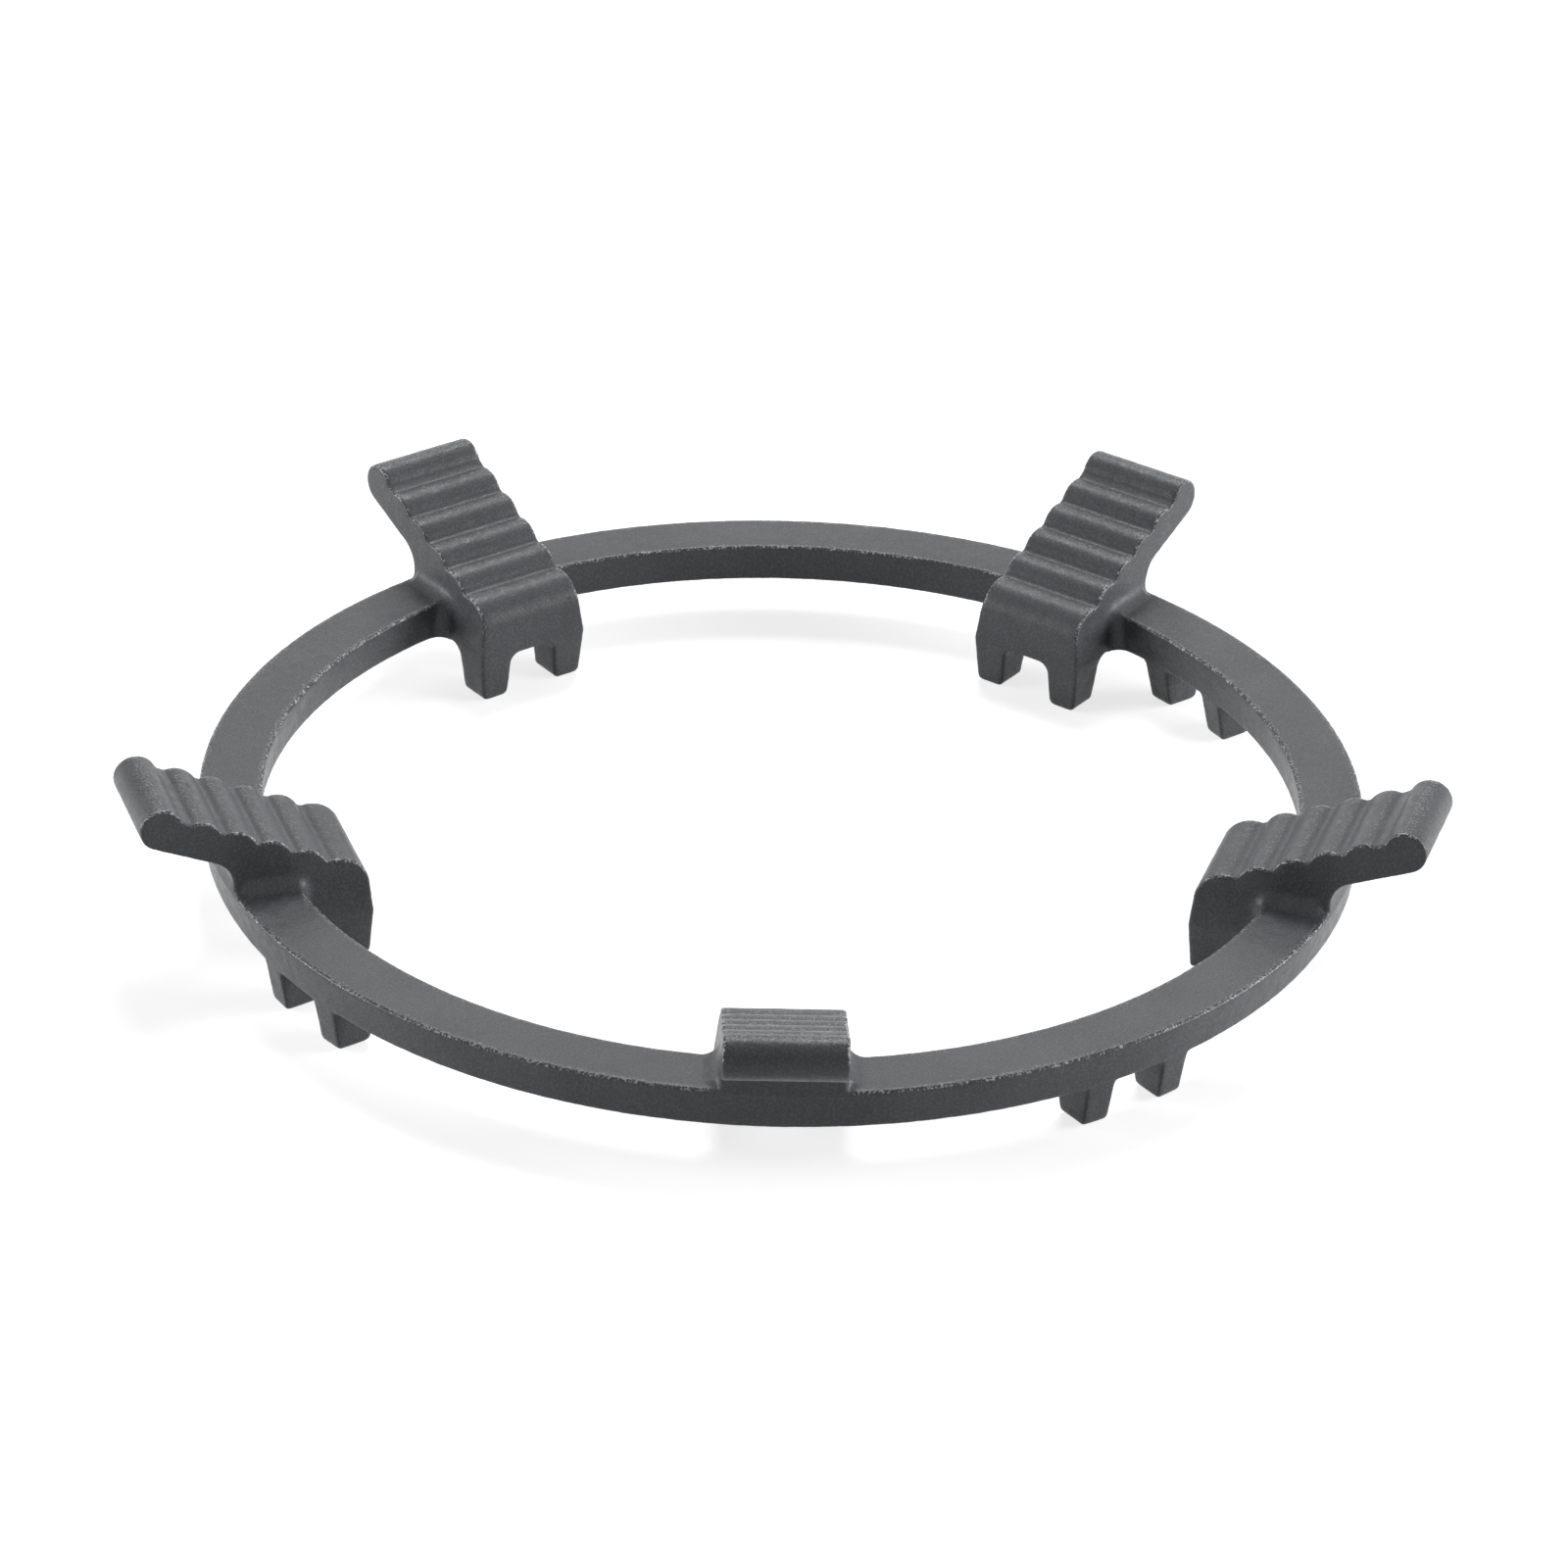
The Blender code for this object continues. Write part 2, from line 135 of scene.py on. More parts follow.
class WokRingLugSizes(bpy.types.PropertyGroup):
    """Sizes of one ribbed lug and of its two prongs."""
    lugs: count("Lugs", "Lugs round the ring", 5)
    tip_w: size("Tip width", "Width across the raised tip", 0.0221)
    shoulder_w: size("Shoulder width", "Width across the lug just above the ring", 0.0225)
    parting_w: size("Parting width", "Width at the mould's parting line", 0.0246)
    foot_w: size("Foot width", "Width across the two prongs at their ends", 0.0229)
    shoulder_z: size("Shoulder height",
                     "Height above the ring at which the shoulder is measured", 0.0015)
    edge_round: size("Edge round", "Radius of the edges along the lug's sides", 0.00045)
    overhang: size("Tip overhang", "Distance of the tip's centre outside the ring", 0.0123)
    tip_z: size("Tip height", "Height of the tip's centre above the ring", 0.0150)
    tip_round: size("Tip round", "Radius of the tip", 0.0041)
    slope: angle("Slope", "Slope of the ribbed seat", 24.1)
    ribs: count("Ribs", "Ribs between the tip and the nose", 4)
    rib_pitch: size("Rib pitch", "Distance from rib to rib along the slope", 0.0071)
    rib_rise: size("Rib rise", "Height of a rib over its valleys", 0.0011)
    valley_w: size("Valley width", "Width of the flat between two ribs", 0.0009)
    line_lift: size("Valley lift", "Height of the valleys over the tip's centre line", 0.0026)
    tip_to_valley: size("First valley",
                        "Distance of the first valley from the tip's centre", 0.0045)
    nose_round: size("Nose round", "Radius of the seat's inner end", 0.0060)
    nose_start: angle("Nose start", "Angle at which the nose leaves the last valley", 77)
    underside: angle("Underside", "Slope of the tip's underside", 22.5)
    back_round: size("Back round", "Radius under the tip, over the ring's outer edge", 0.0057)
    back_inset: size("Back inset",
                     "How far the lug's back stands in from the ring's outer face", 0.0002)
    parting_drop: size("Parting drop", "Depth of the parting line below the ring's top", 0.0072)
    end_draft_up: size("Inner draft above", "Lean of the inner face above the parting line", 0.0005)
    end_draft_down: size("Inner draft below",
                         "Lean of the inner face below the parting line", 0.0006)
    underside_lift: size("Underside lift",
                         "How far the lug's underside lies above the ring's", 0.0004)
    side_fillet: size("Side fillet", "Radius between the lug's side and the ring", 0.0032)
    fillet_fade: size("Fillet fade",
                      "Length over which the side fillet runs down to its toe", 0.0018)
    fillet_toe: size("Fillet toe", "Height of the side fillet's toe", 0.0002)


class WokRingStandSizes(bpy.types.PropertyGroup):
    """Sizes of the prongs and feet that the ring stands on."""
    finger_gap: size("Finger gap", "Gap that a finger of the pan support fills", 0.0109)
    depth: size("Stand depth", "Length of the feet below the ring", 0.0090)
    prong_depth: size("Prong depth", "Size of a prong along the ring's radius", 0.0070)
    prong_draft: size("Prong draft", "How far a prong's outer face leans", 0.0008)
    prong_fillet: size("Prong fillet", "Radius between a prong and the lug's underside", 0.0023)
    prong_corner: size("Prong corner", "Radius of a prong's end", 0.0009)
    prong_side_round: size("Prong side round", "Radius of a prong's end across the lug", 0.0013)
    notch_corner: size("Notch corner", "Radius of the notch's upper corners", 0.0022)
    notch_mouth: size("Notch mouth", "Radius of the notch's mouth", 0.0016)
    notch_drop: size("Notch drop", "Depth of the notch's top below the lug's underside", 0.0005)
    notch_draft: size("Notch draft", "How far each side of the notch leans", 0.0004)
    foot_pairs: count("Pairs of feet", "Pairs of feet, a quarter turn apart", 3)
    foot_w: size("Foot width", "Width of one foot along the ring", 0.0060)
    foot_side_draft: size("Foot side draft", "How far each side of a foot leans", 0.0003)
    foot_outer_draft: size("Foot outer draft", "How far a foot's outer face leans", 0.0016)
    foot_inner_draft: size("Foot inner draft", "How far a foot's inner face leans", 0.0022)
    foot_fillet: size("Foot fillet", "Radius between a foot and the ring", 0.0010)
    foot_corner: size("Foot corner", "Radius of a foot's upright corners", 0.0005)
    foot_bottom_round: size("Foot bottom round", "Radius of a foot's lower edge", 0.0012)


class WokRingFinish(bpy.types.PropertyGroup):
    """How the casting was made and what its skin looks like."""
    grain: size("Mould grain", "Size of the cells that the surface is fused with", 0.00029)
    soften: count("Softening", "Times that the fused skin is smoothed", 2)
    wave_height: size("Wave height", "Depth of the waves on the cast skin", 0.00016)
    wave_width: size("Wave width", "Distance from wave to wave on the cast skin", 0.0028)
    edge_reach: count("Edge reach", "Cells to each side that tell an edge from a face", 6)
    triangles: count("Triangles", "Most triangles of the finished casting", 196000)
    enamel: colour("Enamel", "Colour of the thin enamel", "525457")
    # pale colour for grain specks and worn edges, also used as painted highlight on upward edges
    # and on the rib crests
    pale_wear_and_highlight: colour("Worn enamel",
                 "Colour of the enamel where it is thin, on edges and grains", "C4C5C7")
    # darker tone for random clouds in the enamel, also used as painted shade in concave corners and
    # valleys
    dark_tone_and_corner_shade: colour("Pooled enamel", "Colour of the enamel where it lies thick", "343639")
    roughness: factor("Roughness", "Roughness of the matt enamel", 0.37)
    sand_grain: size("Sand grain", "Size of the moulding sand's grains", 0.00045)


class WokRingStudio(bpy.types.PropertyGroup):
    """Floor, lights and camera."""
    floor: colour("Floor", "Colour of the floor", "DCDCDC")
    floor_white: factor("Floor white", "How white the floor is by itself near the ring", 0.74)
    right_power: factor("Right light", "Power of the low light from the right", 17.0, 100.0)
    left_power: factor("Left light", "Power of the low light from the left", 13.0, 100.0)
    back_power: factor("Back light", "Power of the low light behind", 1.0, 100.0)
    high_power: factor("High light", "Power of the high light behind and to the right", 1.5, 100.0)
    top_power: factor("Top light", "Power of the small light high behind", 7.5, 100.0)
    sky: factor("Sky", "Strength of the even light from all sides", 0.03, 2.0)
    lens: bpy.props.FloatProperty(name="Lens", description="Focal length of the camera's lens",
                                  default=151.94, min=1.0, unit='CAMERA')


PROPERTY_GROUPS = {
    "wok_ring_bar": WokRingBarSizes,
    "wok_ring_lug": WokRingLugSizes,
    "wok_ring_stand": WokRingStandSizes,
    "wok_ring_finish": WokRingFinish,
    "wok_ring_studio": WokRingStudio,
}


def add_node(tree, kind, links=None, **settings):
    """A node with its settings, and with its inputs linked or set."""
    node = tree.nodes.new(kind)
    for name, value in settings.items():
        setattr(node, name, value)
    for socket, value in (links or {}).items():
        if isinstance(value, bpy.types.NodeSocket):
            tree.links.new(value, node.inputs[socket])
        else:
            node.inputs[socket].default_value = value
    return node


def arc(y, z, radius, start_deg, end_deg, steps):
    """Points on an arc about (y, z), both ends included."""
    points = []
    for i in range(steps + 1):
        a = math.radians(start_deg + (end_deg - start_deg) * i / steps)
        points.append((y + radius * math.cos(a), z + radius * math.sin(a)))
    return points


def along(radius, x):
    """Distance out from the axis, at x beside it, of a circle about the axis."""
    return math.sqrt(radius * radius - x * x)


def rounding(radius, start_deg, end_deg, steps):
    """Pairs across and along a quarter round: (0, radius) at 0 and (radius, 0) at 90."""
    pairs = []
    for i in range(steps + 1):
        a = math.radians(start_deg + (end_deg - start_deg) * i / steps)
        pairs.append((radius * (1 - math.cos(a)), radius * (1 - math.sin(a))))
    return pairs


def inset(path, amount):
    """Open path of the same number of points, moved to its left by an amount."""
    headings = [math.atan2(z1 - z0, y1 - y0) for (y0, z0), (y1, z1) in zip(path, path[1:])]
    moved = []
    for (y, z), before, after in zip(path, headings[:1] + headings, headings + headings[-1:]):
        bend = math.remainder(after - before, math.tau) / 2
        reach = amount / math.cos(bend)
        moved.append((y - reach * math.sin(before + bend), z + reach * math.cos(before + bend)))
    return moved


def add_loft(bm, sections):
    """Closed solid through sections that have the same number of points."""
    rows = [[bm.verts.new(point) for point in section] for section in sections]
    for lower, upper in zip(rows, rows[1:]):
        for i in range(len(lower)):
            bm.faces.new((lower[i - 1], lower[i], upper[i], upper[i - 1]))
    bm.faces.new(rows[0])
    bm.faces.new(rows[-1])


def mesh_object(name, bm):
    """A new object from a bmesh, with its faces turned outwards."""
    bmesh.ops.recalc_face_normals(bm, faces=bm.faces)
    mesh = bpy.data.meshes.new(name)
    bm.to_mesh(mesh)
    bm.free()
    obj = bpy.data.objects.new(name, mesh)
    bpy.context.scene.collection.objects.link(obj)
    return obj


class Shape:
    """The casting's outlines, worked out from the sizes."""

    def __init__(self, scene):
        self.bar = scene.wok_ring_bar
        self.lug = scene.wok_ring_lug
        self.stand = scene.wok_ring_stand
        self.sink = 0.0006  # how far joined parts run into each other
        self.inner_r = self.bar.outer_r - self.bar.bar_w
        self.bottom_z = -self.bar.height
        self.stand_z = self.bottom_z - self.stand.depth
        self.under_z = self.bottom_z + self.lug.underside_lift
        self.parting_z = -self.lug.parting_drop
        self.tip_r = self.bar.outer_r + self.lug.overhang

    def ring_outer(self, z):
        """Radius of the ring's outer face at a height."""
        return self.bar.outer_r + self.bar.outer_draft * z / self.bar.height

    def ring_inner(self, z):
        """Radius of the ring's inner face at a height."""
        return self.inner_r - self.bar.inner_draft * z / self.bar.height

    def ring_section(self):
        """Outline of the bar in radius and height."""
        top, low, bottom = self.bar.top_round, self.bar.bottom_round, self.bottom_z
        outline = arc(self.ring_outer(0) - top, -top, top, 0, 90, 6)
        outline += arc(self.ring_inner(0) + top, -top, top, 90, 180, 6)
        outline += arc(self.ring_inner(bottom) + low, bottom + low, low, 180, 270, 6)
        return outline + arc(self.ring_outer(bottom) - low, bottom + low, low, 270, 360, 6)

    def slope_point(self, distance, lift):
        """Point in along the seat from the tip's centre, and above it."""
        c, s = math.cos(self.lug.slope), math.sin(self.lug.slope)
        return (self.tip_r - distance * c - lift * s,
                self.lug.tip_z - distance * s + lift * c)

    def ribbed_top(self):
        """From the tip's round over the ribs to the nose and the inner face."""
        lug = self.lug
        slope, under = math.degrees(lug.slope), math.degrees(lug.underside)
        normal = 90 + slope
        tip_end = math.degrees(math.acos((lug.line_lift + self.sink / 4) / lug.tip_round))
        points = arc(self.tip_r, lug.tip_z, lug.tip_round, under - 90, normal + tip_end, 40)
        half_chord = (lug.rib_pitch - lug.valley_w) / 2
        radius = (half_chord ** 2 + lug.rib_rise ** 2) / (2 * lug.rib_rise)
        half = math.degrees(math.asin(half_chord / radius))
        for index in range(lug.ribs):
            middle = lug.tip_to_valley + (index + 0.5) * lug.rib_pitch
            y, z = self.slope_point(middle, lug.line_lift + lug.rib_rise - radius)
            points += arc(y, z, radius, normal - half, normal + half, 18)
        last = lug.tip_to_valley + lug.ribs * lug.rib_pitch + lug.valley_w / 2
        y, z = self.slope_point(last, lug.line_lift)
        y -= lug.nose_round * math.cos(lug.nose_start)
        z -= lug.nose_round * math.sin(lug.nose_start)
        return points + arc(y, z, lug.nose_round, math.degrees(lug.nose_start), 180, 26)

    def inner_end(self, face_y):
        """Down the inner face, round the prong and back up to the lug's underside."""
        stand, corner = self.stand, self.stand.prong_corner
        parting_y = face_y - self.lug.end_draft_up
        foot_y = parting_y + self.lug.end_draft_down
        back_y = foot_y + stand.prong_depth
        fillet = stand.prong_fillet
        points = [(parting_y, self.parting_z)]
        points += arc(foot_y + corner, self.stand_z + corner, corner, 180, 270, 6)
        points += arc(back_y - corner, self.stand_z + corner, corner, 270, 360, 6)
        fillet_y = back_y + stand.prong_draft + fillet
        return points + arc(fillet_y, self.under_z - fillet, fillet, 180, 90, 12)

    def back_y(self):
        """Distance out of the lug's upright back, above the ring's outer edge."""
        return along(self.bar.outer_r, self.lug.parting_w / 2) - self.lug.back_inset

    def back(self):
        """From just inside the ring's outer edge up the lug's back to the tip's underside."""
        lug, back_y = self.lug, self.back_y()
        low_y = self.tip_r + lug.tip_round * math.sin(lug.underside)
        low_z = lug.tip_z - lug.tip_round * math.cos(lug.underside)
        centre_y = back_y + lug.back_round
        centre_z = (low_z - (low_y - centre_y) * math.tan(lug.underside)
                    - lug.back_round / math.cos(lug.underside))
        turn = math.degrees(math.asin((centre_z + self.sink) / lug.back_round))
        return arc(centre_y, centre_z, lug.back_round, 180 + turn,
                   90 + math.degrees(lug.underside), 26)

    def back_bulge(self, point):
        """How far the foot of the lug's back comes out, to stay flush with the round ring."""
        back_y, top = self.back_y(), self.lug.back_round * 0.8
        if point.z > top or point.z < -self.sink * 2 or point.y < back_y - self.lug.edge_round * 2:
            return 0.0
        flush = along(self.bar.outer_r, point.x) - along(self.bar.outer_r, self.lug.parting_w / 2)
        return max(0.0, flush) * min(1.0, 1 - (point.z / top) ** 3)

    def lug_profile(self):
        """Side outline of a lug: the part that shows, and its way through the ring's body."""
        top = self.ribbed_top()
        inner_wall = along(self.inner_r, self.lug.parting_w / 2)
        outer_wall = along(self.bar.outer_r, self.lug.parting_w / 2)
        hidden = [(inner_wall + self.bar.bar_w / 4, self.under_z),
                  (outer_wall - self.bar.bar_w / 4, self.bottom_z / 2)]
        return self.back() + top + self.inner_end(top[-1][0]), hidden

    def half_width(self, z):
        """Half the lug's width at a height: drafted both ways from the parting line."""
        lug, side_round = self.lug, self.stand.prong_side_round
        stations = [(self.stand_z, lug.foot_w), (self.parting_z, lug.parting_w),
                    (lug.shoulder_z, lug.shoulder_w), (lug.tip_z + lug.tip_round, lug.tip_w)]
        width = lug.foot_w
        for (z0, w0), (z1, w1) in zip(stations, stations[1:]):
            if z >= z0:
                width = w0 + (w1 - w0) * (z - z0) / (z1 - z0)
        depth = max(0.0, side_round - (z - self.stand_z))
        return width / 2 - side_round + math.sqrt(max(0.0, side_round ** 2 - depth ** 2))

    def notch_outline(self, grown):
        """Notch between two prongs, each point moved out by an amount."""
        stand = self.stand
        half_top = stand.finger_gap / 2 - stand.notch_draft - stand.notch_corner
        mouth_x = stand.finger_gap / 2 + stand.notch_mouth
        side = arc(half_top, self.under_z - stand.notch_drop - stand.notch_corner,
                   stand.notch_corner + grown, 90, 0, 12)
        side += arc(mouth_x, self.stand_z + stand.notch_mouth, stand.notch_mouth - grown,
                    180, 262, 8)
        side += [(mouth_x, self.stand_z - self.sink)]
        return side + [(-x, z) for x, z in reversed(side)]

    def fillet_section(self, side, circle_r, level_z, normal_deg, height=1.0):
        """One station of a side fillet, between the lug's side and a face of the ring."""
        ny, nz = math.cos(math.radians(normal_deg)), math.sin(math.radians(normal_deg))
        fillet, sink = self.lug.side_fillet, self.sink
        corners = [(-sink, -sink / 2), (-sink, fillet)]
        corners += rounding(fillet, 5, 85, 12)
        corners.append((fillet, -sink / 2))
        points = []
        for out, up in corners:
            lift = sink + (up * height if up > 0 else up)
            z = level_z - sink + lift * nz
            x = self.half_width(z) + out
            points.append((side * x, along(circle_r, x) + sink + lift * ny, z))
        return points

    def foot_section(self, z, spread, shrink):
        """Rounded rectangle of a foot at a height."""
        stand, bottom = self.stand, self.bottom_z
        depth = max(0.0, (bottom - z) / stand.depth)
        middle = stand.finger_gap / 2 + stand.foot_w / 2
        half = stand.foot_w / 2 + spread - shrink - stand.foot_side_draft * depth
        outer = self.ring_outer(bottom) - self.sink / 4 - stand.foot_outer_draft * depth - shrink
        inner = self.ring_inner(bottom) + self.sink / 4 + stand.foot_inner_draft * depth + shrink
        corner = min(stand.foot_corner + spread, half - stand.foot_corner)
        points = []
        for sx, radius, start in (
                (1, outer, 0), (-1, outer, 90), (-1, inner, 180), (1, inner, 270)):
            sy = 1 if radius == outer else -1
            for x, y in arc(sx * (half - corner), -sy * corner, corner, start, start + 90, 6):
                points.append((middle + x, along(radius, middle + x) + y, z))
        return points


def make_lug(shape):
    """One lug on +Y, its side edges rolled, its width drafted and its notch cut."""
    shown, hidden = shape.lug_profile()
    stations = []
    for amount, depth in rounding(shape.lug.edge_round, 90, 0, 3):
        stations.append((1 - depth / (shape.lug.tip_w / 2), inset(shown, amount) + hidden))
    sections = [[(-x, y, z) for y, z in outline] for x, outline in stations]
    inner = stations[-1][0]
    sections += [[(inner * x, y, z) for y, z in stations[-1][1]]
                 for x in (-0.75, -0.5, -0.25, 0.0, 0.25, 0.5, 0.75)]
    sections += [[(x, y, z) for y, z in outline] for x, outline in reversed(stations)]
    bm = bmesh.new()
    add_loft(bm, sections)
    levels = [shape.lug.shoulder_z, shape.parting_z]
    levels += [shape.stand_z + lift for shrink, lift
               in rounding(shape.stand.prong_side_round, 0, 75, 4)]
    for z in levels:
        bmesh.ops.bisect_plane(bm, geom=bm.verts[:] + bm.edges[:] + bm.faces[:], dist=1e-6,
                               plane_co=(0, 0, z), plane_no=(0, 0, 1))
    for vert in bm.verts:
        vert.co.x *= shape.half_width(vert.co.z)
        vert.co.y += shape.back_bulge(vert.co)
    lug = mesh_object("lug", bm)
    notch = make_notch(shape)
    cut = lug.modifiers.new("Notch", 'BOOLEAN')
    cut.operation = 'DIFFERENCE'
    cut.object = notch
    cut.solver = 'EXACT'
    plain = baked(lug, "lug")
    bpy.data.objects.remove(notch)
    return plain


def make_notch(shape):
    """Cutter for the notch between the prongs, with a chamfered inner edge."""
    stand, lug = shape.stand, shape.lug
    parting_y = shape.ribbed_top()[-1][0] - lug.end_draft_up
    draft = lug.end_draft_down / (shape.parting_z - shape.stand_z)
    behind = stand.prong_depth + stand.prong_draft + stand.prong_fillet + shape.sink
    edge = 0.0005
    stations = [(-shape.sink / 2, edge + shape.sink / 2), (edge, 0.0), (behind, 0.0)]
    bm = bmesh.new()
    add_loft(bm, [[(x, parting_y + draft * (shape.parting_z - z) + back, z)
                   for x, z in shape.notch_outline(grown)] for back, grown in stations])
    return mesh_object("notch", bm)


def make_side_fillets(shape):
    """The two fillets of one lug, from a toe at its back in over the ring and down inside."""
    lug, sink = shape.lug, shape.sink
    lowest = shape.bottom_z + shape.bar.bottom_round + sink / 4
    outer = math.hypot(shape.back_y() - sink * 1.25, shape.half_width(0))
    toe = lug.fillet_toe / lug.side_fillet
    bm = bmesh.new()
    for side in (-1, 1):
        sections = [shape.fillet_section(side, outer - lug.fillet_fade * back, 0.0, 90,
                                         toe + (1 - toe) * back ** 2)
                    for back in (0.0, 0.25, 0.5, 0.75, 1.0)]
        sections += [shape.fillet_section(side, shape.inner_r, 0.0, 90 + 9 * i) for i in range(11)]
        sections.append(shape.fillet_section(side, shape.ring_inner(lowest), lowest, 180))
        add_loft(bm, sections)
    return mesh_object("side_fillets", bm)


def make_feet(shape):
    """One pair of feet on +Y, one each side of a finger."""
    stand = shape.stand
    top = shape.bottom_z + shape.bar.bottom_round + shape.sink
    stations = [(top, stand.foot_fillet, shape.sink / 2)]
    for spread, drop in rounding(stand.foot_fillet, 84, 4, 8):
        stations.append((shape.bottom_z - drop, spread, 0.0))
    for shrink, lift in rounding(stand.foot_bottom_round, 0, 90, 6):
        stations.append((shape.stand_z + lift, 0.0, shrink))
    bm = bmesh.new()
    right = [shape.foot_section(*station) for station in stations]
    add_loft(bm, right)
    add_loft(bm, [[(-x, y, z) for x, y, z in section] for section in right])
    return mesh_object("feet", bm)


def make_section(shape):
    """The bar's section as a closed line, set out from the ring's outer radius."""
    points = shape.ring_section()
    bm = bmesh.new()
    verts = [bm.verts.new((radius - shape.bar.outer_r, -z, 0.0)) for radius, z in points]
    for i, vert in enumerate(verts):
        bm.edges.new((verts[i - 1], vert))
    mesh = bpy.data.meshes.new("bar section")
    bm.to_mesh(mesh)
    bm.free()
    obj = bpy.data.objects.new("bar section", mesh)
    bpy.context.scene.collection.objects.link(obj)
    return obj


def new_tree(name, inputs):
    """A geometry tree with named inputs. Returns it and its input node's sockets."""
    tree = bpy.data.node_groups.new(name, 'GeometryNodeTree')
    tree.is_modifier = True
    for label, kind in inputs:
        tree.interface.new_socket(name=label, in_out='INPUT', socket_type=kind)
    tree.interface.new_socket(name="Geometry", in_out='OUTPUT', socket_type='NodeSocketGeometry')
    return tree, tree.nodes.new('NodeGroupInput').outputs


def close_tree(tree, geometry, material):
    """End a tree: realise its instances, give the material and hand the mesh out."""
    real = add_node(tree, 'GeometryNodeRealizeInstances', {"Geometry": geometry})
    painted = add_node(tree, 'GeometryNodeSetMaterial',
                       {"Geometry": real.outputs[0], "Material": material})
    add_node(tree, 'NodeGroupOutput', {"Geometry": painted.outputs[0]})


def sweep_tree():
    """Sweeps a section, the object's own line, round a circle."""
    tree, given = new_tree("Swept ring", (
        ("Geometry", 'NodeSocketGeometry'), ("Radius", 'NodeSocketFloat'),
        ("Steps", 'NodeSocketInt'), ("Material", 'NodeSocketMaterial')))
    section = add_node(tree, 'GeometryNodeMeshToCurve', {"Mesh": given["Geometry"]})
    path = add_node(tree, 'GeometryNodeCurvePrimitiveCircle',
                    {"Radius": given["Radius"], "Resolution": given["Steps"]})
    swept = add_node(tree, 'GeometryNodeCurveToMesh',
                     {"Curve": path.outputs["Curve"], "Profile Curve": section.outputs["Curve"]})
    close_tree(tree, swept.outputs["Mesh"], given["Material"])
    return tree


def turn_tree():
    """Sets copies of an object round the axis, a fixed turn apart."""
    tree, given = new_tree("Copies round the ring", (
        ("Geometry", 'NodeSocketGeometry'), ("Copies", 'NodeSocketInt'),
        ("First turn", 'NodeSocketFloat'), ("Turn", 'NodeSocketFloat'),
        ("Material", 'NodeSocketMaterial')))
    points = add_node(tree, 'GeometryNodePoints', {"Count": given["Copies"]})
    index = add_node(tree, 'GeometryNodeInputIndex')
    turn = add_node(tree, 'ShaderNodeMath', {0: index.outputs[0], 1: given["Turn"],
                                             2: given["First turn"]}, operation='MULTIPLY_ADD')
    rotation = add_node(tree, 'FunctionNodeAxisAngleToRotation',
                        {"Axis": (0.0, 0.0, 1.0), "Angle": turn.outputs[0]})
    copies = add_node(tree, 'GeometryNodeInstanceOnPoints',
                      {"Points": points.outputs[0], "Instance": given["Geometry"],
                       "Rotation": rotation.outputs[0]})
    close_tree(tree, copies.outputs[0], given["Material"])
    return tree


def gather_tree(names):
    """Brings several objects together as one mesh."""
    inputs = [("Geometry", 'NodeSocketGeometry')] + [(name, 'NodeSocketObject') for name in names]
    tree, given = new_tree("Gathered casting", inputs + [("Material", 'NodeSocketMaterial')])
    joined = add_node(tree, 'GeometryNodeJoinGeometry')
    tree.links.new(given["Geometry"], joined.inputs[0])
    for name in names:
        info = add_node(tree, 'GeometryNodeObjectInfo', {"Object": given[name]})
        tree.links.new(info.outputs["Geometry"], joined.inputs[0])
    close_tree(tree, joined.outputs[0], given["Material"])
    return tree


def skin_tree():
    """Waves the skin as a sand mould leaves it, and notes how sharply it bends where."""
    tree, given = new_tree("Cast skin", (
        ("Geometry", 'NodeSocketGeometry'), ("Wave height", 'NodeSocketFloat'),
        ("Waves per metre", 'NodeSocketFloat'), ("Cells per metre", 'NodeSocketFloat'),
        ("Edge reach", 'NodeSocketInt'), ("Material", 'NodeSocketMaterial')))
    place = add_node(tree, 'GeometryNodeInputPosition').outputs[0]
    facing = add_node(tree, 'GeometryNodeInputNormal').outputs[0]
    waves = add_node(tree, 'ShaderNodeTexNoise', {
        "Vector": place, "Scale": given["Waves per metre"], "Detail": 2.0, "Roughness": 0.6})
    # 0.8 and not the noise's middle, 0.5, so that the waves sink into the outline
    level = add_node(tree, 'ShaderNodeMath', {0: waves.outputs[0], 1: 0.8}, operation='SUBTRACT')
    lift = add_node(tree, 'ShaderNodeMath', {0: level.outputs[0], 1: given["Wave height"]},
                    operation='MULTIPLY')
    offset = add_node(tree, 'ShaderNodeVectorMath', {0: facing, 3: lift.outputs[0]},
                      operation='SCALE')
    waved = add_node(tree, 'GeometryNodeSetPosition', {"Geometry": given["Geometry"],
                                                       "Offset": offset.outputs[0]})
    around = add_node(tree, 'GeometryNodeBlurAttribute', {"Value": place,
                                                          "Iterations": given["Edge reach"]},
                      data_type='FLOAT_VECTOR')
    apart = add_node(tree, 'ShaderNodeVectorMath', {0: place, 1: around.outputs[0]},
                     operation='SUBTRACT')
    proud = add_node(tree, 'ShaderNodeVectorMath', {0: apart.outputs[0], 1: facing},
                     operation='DOT_PRODUCT')
    bend = add_node(tree, 'ShaderNodeMath',
                    {0: proud.outputs["Value"], 1: given["Cells per metre"]}, operation='MULTIPLY')
    noted = add_node(tree, 'GeometryNodeStoreNamedAttribute',
                     {"Geometry": waved.outputs[0], "Name": EDGE, "Value": bend.outputs[0]},
                     data_type='FLOAT', domain='POINT')
    close_tree(tree, noted.outputs[0], given["Material"])
    return tree


def add_tree(obj, tree, values):
    """Give an object a geometry tree and set its inputs by their identifiers."""
    modifier = obj.modifiers.new(tree.name, 'NODES')
    modifier.node_group = tree
    for item in tree.interface.items_tree:
        if item.in_out == 'INPUT' and item.name in values:
            modifier[item.identifier] = values[item.name]
    return modifier


